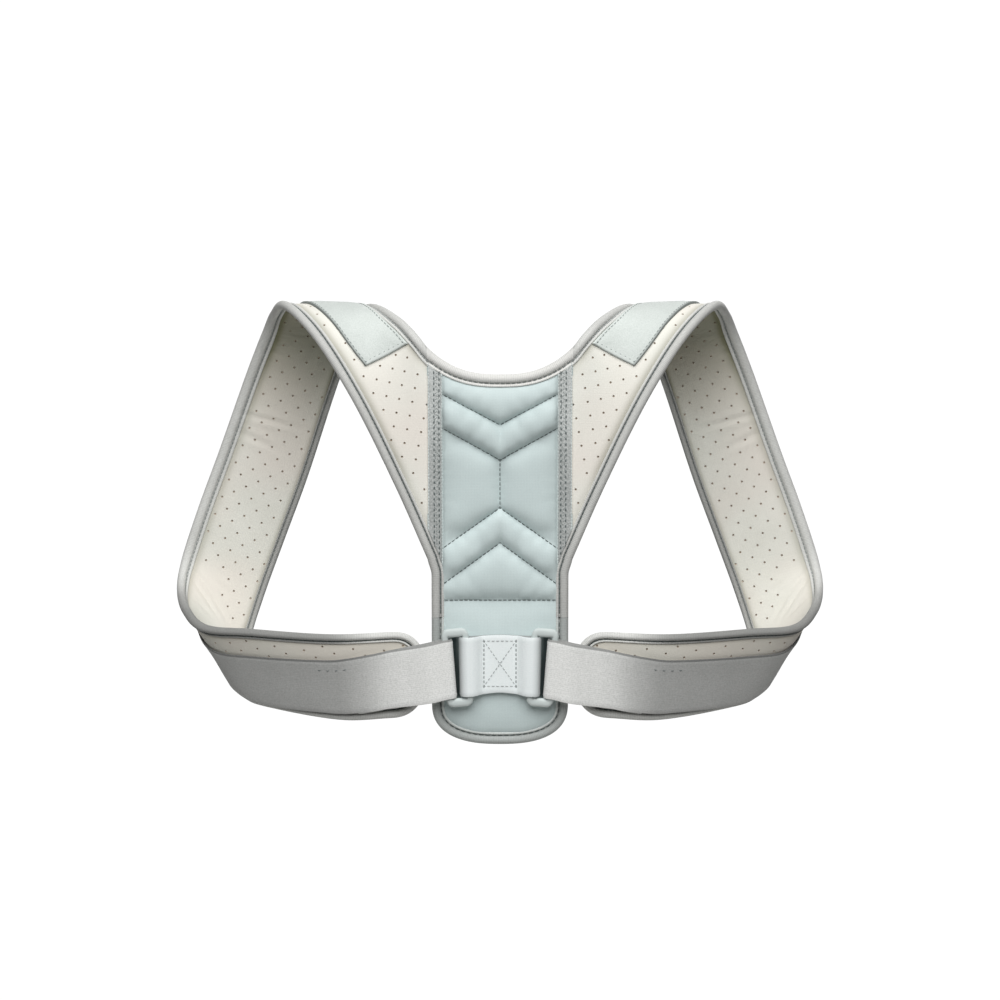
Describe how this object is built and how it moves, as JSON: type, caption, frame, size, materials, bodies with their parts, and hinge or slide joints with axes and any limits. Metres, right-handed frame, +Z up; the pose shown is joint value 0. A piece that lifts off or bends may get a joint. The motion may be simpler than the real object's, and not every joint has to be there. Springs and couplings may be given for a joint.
{
  "type": "clavicle brace",
  "caption": "Worn shoulder brace: a quilted back pad with padded straps that loop over the shoulders and under the arms to pull webbing in rings.",
  "frame": {"origin": "midway between the two strap crests, where the brace hangs on the wearer's shoulders", "axes": "+Z up, +Y towards the wearer's chest, +X towards the wearer's right; the pad's outer face looks along -Y"},
  "size_m": [0.4308, 0.1224, 0.2806],
  "materials": {
    "quilted_cover": "satin grained cover over foam",
    "perforated_foam": "matte brushed cloth on foam, punched with small holes",
    "edge_tape": "soft knit folded tape",
    "knit_tape": "open knit tape",
    "shoulder_patch": "short brushed loop",
    "pull_webbing": "woven webbing with a soft face",
    "ring_plastic": "moulded, slightly glossy"
  },
  "bodies": {
    "root": {"spine_pad": "quilted_cover", "binding_neck": "edge_tape", "binding_hem": "edge_tape", "binding_left": "edge_tape", "binding_right": "edge_tape", "seam_tape_left": "knit_tape", "seam_tape_right": "knit_tape", "strap_left": "perforated_foam", "strap_right": "perforated_foam", "shoulder_tab_left": "shoulder_patch", "shoulder_tab_right": "shoulder_patch", "webbing_left": "pull_webbing", "webbing_right": "pull_webbing", "centre_tab": "pull_webbing", "ring_left": "ring_plastic", "ring_right": "ring_plastic"}
  },
  "joints": []
}
